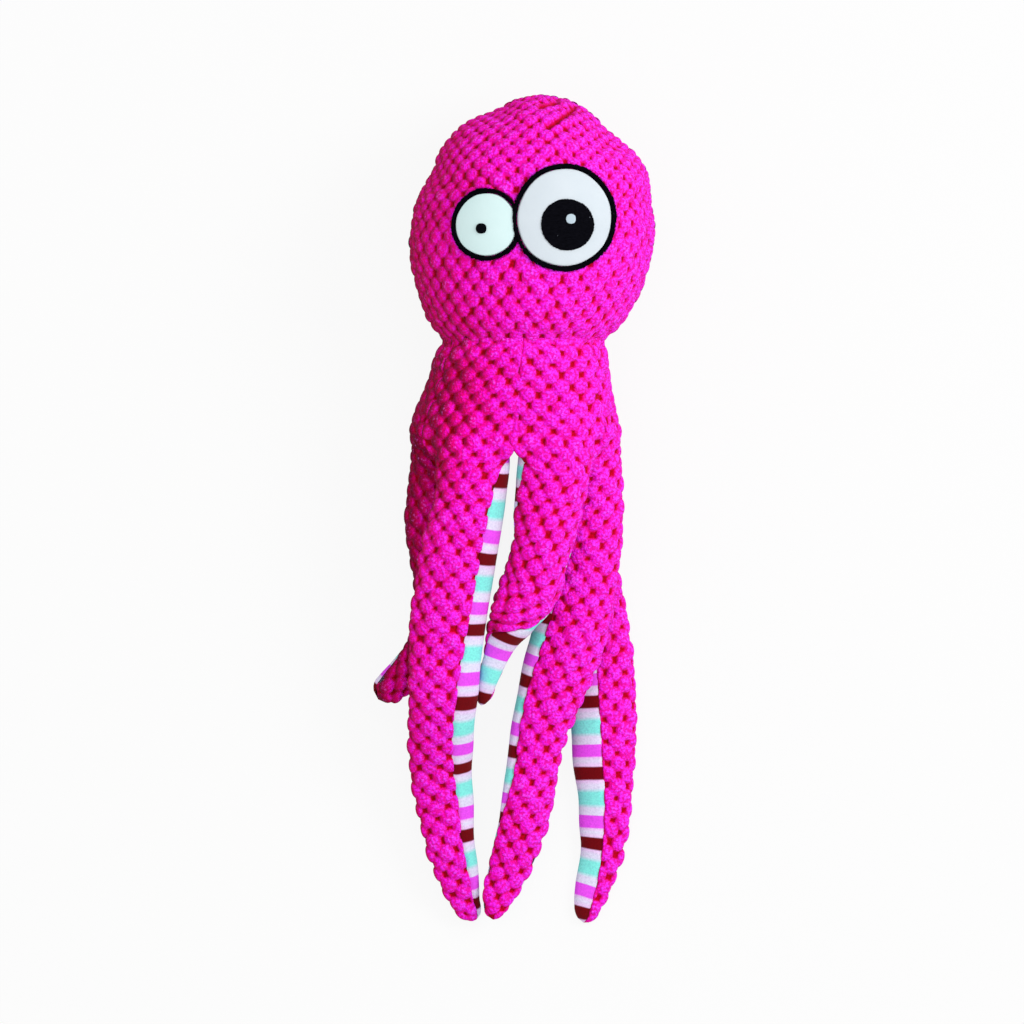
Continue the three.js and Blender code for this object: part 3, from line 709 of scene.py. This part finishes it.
class Route:
    """A tentacle's middle line with its size and roll at every millimetre of its length."""

    def __init__(self, rows, ease):
        table = np.array(rows, dtype=float)
        side = table[:, 1] * HEM_WIDTH / 2
        down = table[:, 0] * REACH
        width = table[:, 2] * TENTACLE_WIDTH
        away = np.hypot(side - side[0], down) / REACH
        stack = TENTACLE_DEPTH * np.interp(away, DEPTH_SHARES[:, 0], DEPTH_SHARES[:, 1])
        depth = np.minimum(stack, DEPTH_TO_WIDTH * width)
        low = table[:, 3] * (stack + LAYER_GAP) - PRESSED
        corners = np.stack([HEM_X + side, HEM_Y - JOINT_GAP - down, low + depth / 2], axis=1)
        points, spots = curve_points(corners, 900)
        steps = np.linalg.norm(np.diff(points, axis=0), axis=1)
        travelled = np.concatenate([[0], np.cumsum(steps)])
        self.length = travelled[-1]
        self.at = np.linspace(0, self.length, int(self.length) + 1)
        spot = np.interp(self.at, travelled, spots)
        self.centre = np.stack([np.interp(self.at, travelled, points[:, k]) for k in range(3)], axis=1)
        stations = np.arange(len(table))
        self.width = softened(np.interp(spot, stations, width))
        self.depth = softened(np.interp(spot, stations, depth))
        self.turn = softened(np.interp(spot, stations, table[:, 4]), ease)
        ahead = np.gradient(self.centre, self.at, axis=0)
        start = smooth_step(self.at / ROOT_EASE)[:, None]
        ahead = ahead * start + np.array([0, -1, 0]) * (1 - start)
        self.ahead = ahead / np.linalg.norm(ahead, axis=1, keepdims=True)

    def sections(self, where):
        """Centres, directions, half sizes and rolls at distances along the route."""
        inside = np.clip(where, 0, self.length)
        pick = lambda values: np.interp(inside, self.at, values)
        centre = np.stack([pick(self.centre[:, k]) for k in range(3)], axis=1)
        ahead = np.stack([pick(self.ahead[:, k]) for k in range(3)], axis=1)
        ahead /= np.linalg.norm(ahead, axis=1, keepdims=True)
        centre += ahead * (where - inside)[:, None]
        across = np.cross(np.array([0, 0, 1.0]), ahead)
        across /= np.linalg.norm(across, axis=1, keepdims=True)
        up = np.cross(ahead, across)
        to_tip = np.clip((self.length - where) / TIP_ROUNDING, 0, 1)
        rounded = np.sqrt(1 - (1 - to_tip) ** 2)
        half_width, half_depth = pick(self.width) / 2 * rounded, pick(self.depth) / 2 * rounded
        return centre, across, up, half_width, half_depth, pick(self.turn)


def softened(values, reach=9):
    """The running mean of values at every millimetre, so many of them to each side."""
    padded = np.pad(values, reach, mode="edge")
    return np.convolve(padded, np.ones(2 * reach + 1) / (2 * reach + 1), mode="valid")


def body_outline(y, angles):
    """The body's outside at heights y and angles in degrees, row by row, and the way inward there."""
    share = np.clip((NECK_Y - y) / (NECK_Y - HEM_Y), 0, 1)[:, None]
    ease = share ** HEM_FLARE
    half_width = (NECK_SHARE * HEAD_WIDTH * (1 - ease) + HEM_WIDTH * ease) / 2
    half_depth = (NECK_SHARE * HEAD_DEPTH * (1 - ease) + HEM_DEPTH * ease) / 2
    centre_x = NECK_X + (HEM_X - NECK_X) * share
    centre_z = HEAD_Z + (HEM_Z - HEAD_Z) * share
    power = 2 / (2 + (HEM_SQUARENESS - 2) * share)
    turned = np.radians(angles)[None, :]
    cos, sin = np.cos(turned), np.sin(turned)
    x = half_width * np.sign(cos) * np.abs(cos) ** power
    z = half_depth * np.sign(sin) * np.abs(sin) ** power
    points = np.stack([centre_x + x, np.broadcast_to(y[:, None], x.shape), centre_z + z], axis=-1)
    inward = -np.stack([x, np.zeros_like(x), z], axis=-1)
    return points, inward / np.linalg.norm(inward, axis=2, keepdims=True)


def even_rows(points, count):
    """Each row of points respaced evenly, and each row's length."""
    steps = np.linalg.norm(np.diff(points, axis=1), axis=2)
    travelled = np.concatenate([np.zeros((len(points), 1)), np.cumsum(steps, axis=1)], axis=1)
    lengths = travelled[:, -1]
    spaced = np.empty((len(points), count, 3))
    for row in range(len(points)):
        wanted = np.linspace(0, lengths[row], count)
        for axis in range(3):
            spaced[row, :, axis] = np.interp(wanted, travelled[row], points[row, :, axis])
    return spaced, lengths


def tube_rows(route, where, from_turn, lap, samples=73):
    """Half the tentacle's outline at each distance, from seam to seam and past each by a lap."""
    centre, across, up, half_width, half_depth, turn = route.sections(where)
    angles = np.radians(turn[:, None] + from_turn + np.linspace(-lap, 180 + lap, samples)[None, :])
    points = (centre[:, None, :] + across[:, None, :] * (half_width[:, None] * np.cos(angles))[..., None]
              + up[:, None, :] * (half_depth[:, None] * np.sin(angles))[..., None])
    return points


def panel_rows(route, where, sector, samples=73):
    """A panel's outline: a sixth of the body above the hem, half a tentacle below it.

    The middle of a panel starts to turn into the tentacle soon below the neck, and its seams only
    near the hem, so neighbours stay joined down to the crotch.
    """
    tube = tube_rows(route, where, 0, TUBE_LAP, samples)
    y = HEM_Y - where
    angles = np.linspace(sector[0] - SEAM_LAP, sector[1] + SEAM_LAP, samples)
    body, inward = body_outline(y, angles)
    share = np.linspace(0, 1, samples)
    from_edge = smooth_step(np.minimum(share, 1 - share) / 0.3)[None, :]
    starts = HEM_Y - SEAM_HOLD + (NECK_Y - BODY_HOLD - HEM_Y + SEAM_HOLD) * from_edge
    joined = smooth_step((starts - y[:, None]) / (starts - HEM_Y + CROTCH_DROP))[..., None]
    edge = np.minimum(share, 1 - share) * PANEL_WIDTH
    sewn = SEAM_DEPTH * smooth_step((NECK_Y - y) / (NECK_Y - HEM_Y))
    seam = sewn[:, None] * np.exp(-(edge[None, :] / SEAM_WIDTH) ** 2)
    gathered = NECK_TUCK * np.exp(-((NECK_Y - y) / NECK_TUCK_LENGTH) ** 2) * (y > HEM_Y - CROTCH_DROP)
    body = body + inward * (seam + gathered[:, None])[..., None]
    return body * (1 - joined) + tube * joined


def bobbled_shape(rows_of, start, end, seed, sunk):
    """Bobbled cloth over the outline that rows_of gives, from one distance to another."""
    def shape(across, along):
        where = start + (end - start) * along
        even, lengths = even_rows(rows_of(where), PANEL_COLUMNS + 1)
        u = (across[None, :] - 0.5) * lengths[:, None]
        v = np.broadcast_to(where[:, None], u.shape)
        height = tufts(u, v, TENTACLE_TUFTS, seed)
        rim, small = rim_and_size(across, lengths)
        from_rim = smooth_step(rim / EDGE_FADE)
        tuft = TENTACLE_TUFTS["height"] * height * (0.7 + 0.3 * from_rim)
        tuck = EDGE_TUCK * np.exp(-(rim / EDGE_TUCK_WIDTH) ** 2)
        offset = (TUFT_FOOT + tuft - tuck) * small - sunk * smooth_step(where / SUNK_LENGTH)[:, None]
        return padded_out(even, offset), np.stack([u, v], axis=-1), height * (0.6 + 0.4 * from_rim)
    return shape


def rim_and_size(across, lengths):
    """The distance from the cloth's sides in mm, and a share that is less where it is narrow."""
    rim = np.minimum(across, 1 - across)[None, :] * lengths[:, None]
    return rim, np.clip(lengths / THIN_TUBE, 0.25, 1)[:, None]


def padded_out(points, offset):
    """Points moved outward by an offset, and kept above the table."""
    points = points + outward(points) * offset[..., None]
    points[..., 2] = np.maximum(points[..., 2], TABLE_HEIGHT)
    return points


def lining_shape(route, start, end, facts):
    """The slightly puffed striped cloth on a tentacle's inner side."""
    def shape(across, along):
        where = start + (end - start) * along
        even, lengths = even_rows(tube_rows(route, where, 180, 0), LINING_COLUMNS + 1)
        u = (across[None, :] - 0.5) * lengths[:, None]
        v = np.broadcast_to(where[:, None], u.shape)
        rim, small = rim_and_size(across, lengths)
        puff = LINING_PUFF * np.sin(v / 5.3 + 0.8 * np.sin(u / 6.1)) * np.sin(u / 5.7 + 1.3)
        tuck = LINING_TUCK * np.exp(-(rim / LINING_TUCK_WIDTH) ** 2)
        offset = (LINING_HEIGHT + puff - tuck) * small
        stripe = facts["way"] * (v - facts["red"]) / facts["repeat"]
        place = np.stack([u / facts["repeat"], stripe], axis=-1)
        return padded_out(even, offset), place, np.ones_like(u)
    return shape


def blended_cloth(piece):
    """A stuffed piece of a tentacle, with its place baked into its mesh."""
    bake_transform(piece)


def build_tentacle(name, facts, seed):
    """The bobbled panels and striped linings of a tentacle's two halves."""
    route = Route(facts["rows"], facts.get("ease", TURN_EASE))
    bend = route.length * facts["bend"]
    split = bend - UPPER_HALF_END
    root, knee, ahead = route.centre[0], route.centre[int(bend)], route.ahead[int(bend)]
    hem = {"start": metres(root[0], HEM_Y + HEM_BLEND[0], root[2]),
           "end": metres(root[0], HEM_Y - HEM_BLEND[1], root[2])}
    fold = {"start": metres(*(knee - ahead * BEND_BLEND)), "end": metres(*(knee + ahead * BEND_BLEND))}
    rows_of = lambda where: panel_rows(route, where, facts["sector"])
    upper, lower = name + "_upper", name + "_lower"
    neck = HEM_Y - NECK_Y - NECK_LAP
    for half, above, crossing, start, end in (
            (upper, "body", hem, neck, split), (lower, upper, fold, split, route.length)):
        shape = bobbled_shape(rows_of, start, end, seed, facts.get("sunk", 0))
        rows = int((end - start) / CLOTH_STEP)
        piece = cloth(half + "_panel", PANEL_COLUMNS, rows, shape, BOBBLES, "bobble_plush",
                      facts.get("shade", 0))
        blended_cloth(piece)
        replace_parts(piece, half + "_cover", half + "_fill")
        if half == "front_left_upper":
            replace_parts(piece, "body_cover", "body_fill")
    for half, above, crossing, start, end in (
            (upper, "body", hem, -LINING_LAP, split), (lower, upper, fold, split, route.length)):
        shape = lining_shape(route, start, end, facts)
        rows = int((end - start) / LINING_STEP)
        piece = cloth(half + "_lining", LINING_COLUMNS, rows, shape, STRIPES, "striped_fleece")
        blended_cloth(piece)
        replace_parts(piece, half + "_underside")


def build_hem():
    """The striped cloth that closes the hem between the tentacles' roots."""
    def shape(across, along):
        u, v = np.meshgrid(across * 2 - 1, along * 2 - 1)
        disc_x, disc_z = u * np.sqrt(1 - v * v / 2), v * np.sqrt(1 - u * u / 2)
        rim = np.hypot(disc_x, disc_z)
        points = np.stack([
            HEM_X + disc_x * (HEM_WIDTH / 2 - HEM_INSET),
            HEM_Y + HEM_HOLLOW + HEM_BULGE * rim ** 2,
            HEM_Z + disc_z * (HEM_DEPTH / 2 - HEM_INSET),
        ], axis=-1)
        return points, np.stack([u, 0.15 + 0.3 * rim], axis=-1), np.ones_like(u)

    piece = cloth("hem_underside", 48, 48, shape, STRIPES, "striped_fleece")
    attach(piece, "body")


build_head()
build_eyes()
build_hem()
for number, (tentacle, facts) in enumerate(TENTACLES.items()):
    build_tentacle(tentacle, facts, number + 11)


# Floor, light and camera

PICTURE_PIXELS, PIXEL_SIZE = 1024, 0.000522


def white_to_the_camera(owner, shader, share):
    """Mixes plain white into what the camera, mirrors and glass see."""
    tree = owner.node_tree
    rays = tree.nodes.new("ShaderNodeLightPath")
    seen = rays.outputs["Is Camera Ray"]
    for kind in ("Is Glossy Ray", "Is Transmission Ray"):
        either = tree.nodes.new("ShaderNodeMath")
        either.operation = "MAXIMUM"
        tree.links.new(seen, either.inputs[0])
        tree.links.new(rays.outputs[kind], either.inputs[1])
        seen = either.outputs[0]
    part = tree.nodes.new("ShaderNodeMath")
    part.operation = "MULTIPLY"
    part.inputs[1].default_value = share
    tree.links.new(seen, part.inputs[0])
    white = tree.nodes.new("ShaderNodeEmission" if owner.name == "floor" else "ShaderNodeBackground")
    white.inputs["Color"].default_value = (1, 1, 1, 1)
    mixed = tree.nodes.new("ShaderNodeMixShader")
    tree.links.new(part.outputs[0], mixed.inputs[0])
    tree.links.new(shader, mixed.inputs[1])
    tree.links.new(white.outputs[0], mixed.inputs[2])
    return mixed.outputs[0]


def build_floor():
    shape = bmesh.new()
    bmesh.ops.create_grid(shape, x_segments=4, y_segments=4, size=4)
    mesh = bpy.data.meshes.new("floor")
    shape.to_mesh(mesh)
    shape.free()
    material = bpy.data.materials.new("floor")
    material.use_nodes = True
    tree = material.node_tree
    diffuse = tree.nodes["Principled BSDF"]
    diffuse.inputs["Base Color"].default_value = (0.7, 0.7, 0.7, 1)
    diffuse.inputs["Roughness"].default_value = 0.9
    mixed = white_to_the_camera(material, diffuse.outputs[0], 0.9)
    tree.links.new(mixed, tree.nodes["Material Output"].inputs["Surface"])
    mesh.materials.append(material)
    floor = bpy.data.objects.new("floor", mesh)
    scene.collection.objects.link(floor)
    floor.location.z = -0.0002


def build_world():
    world = bpy.data.worlds.new("studio")
    scene.world = world
    world.use_nodes = True
    tree = world.node_tree
    plain = tree.nodes["Background"]
    plain.inputs["Color"].default_value = (1, 1, 1, 1)
    plain.inputs["Strength"].default_value = 0.62
    mixed = white_to_the_camera(world, plain.outputs[0], 1.0)
    tree.links.new(mixed, tree.nodes["World Output"].inputs["Surface"])


def add_lamp(name, place, size, power):
    light = bpy.data.lights.new(name, "AREA")
    light.size = size
    light.energy = power
    lamp = bpy.data.objects.new(name, light)
    scene.collection.objects.link(lamp)
    lamp.location = place
    aim = -lamp.location
    lamp.rotation_euler = aim.to_track_quat("-Z", "Y").to_euler()


def build_camera():
    """Straight above the toy, its head towards the top of the picture."""
    view = bpy.data.cameras.new("camera")
    view.type = "ORTHO"
    view.ortho_scale = PICTURE_PIXELS * PIXEL_SIZE
    view.clip_start, view.clip_end = 0.01, 20
    camera = bpy.data.objects.new("camera", view)
    scene.collection.objects.link(camera)
    camera.location = (0, -0.0018, 2)
    scene.camera = camera


build_floor()
build_world()
add_lamp("key", (1.15, 0.45, 1.25), 0.7, 14)
add_lamp("top", (-0.1, 0.2, 1.9), 1.4, 9)
build_camera()
scene.view_settings.view_transform = "Standard"
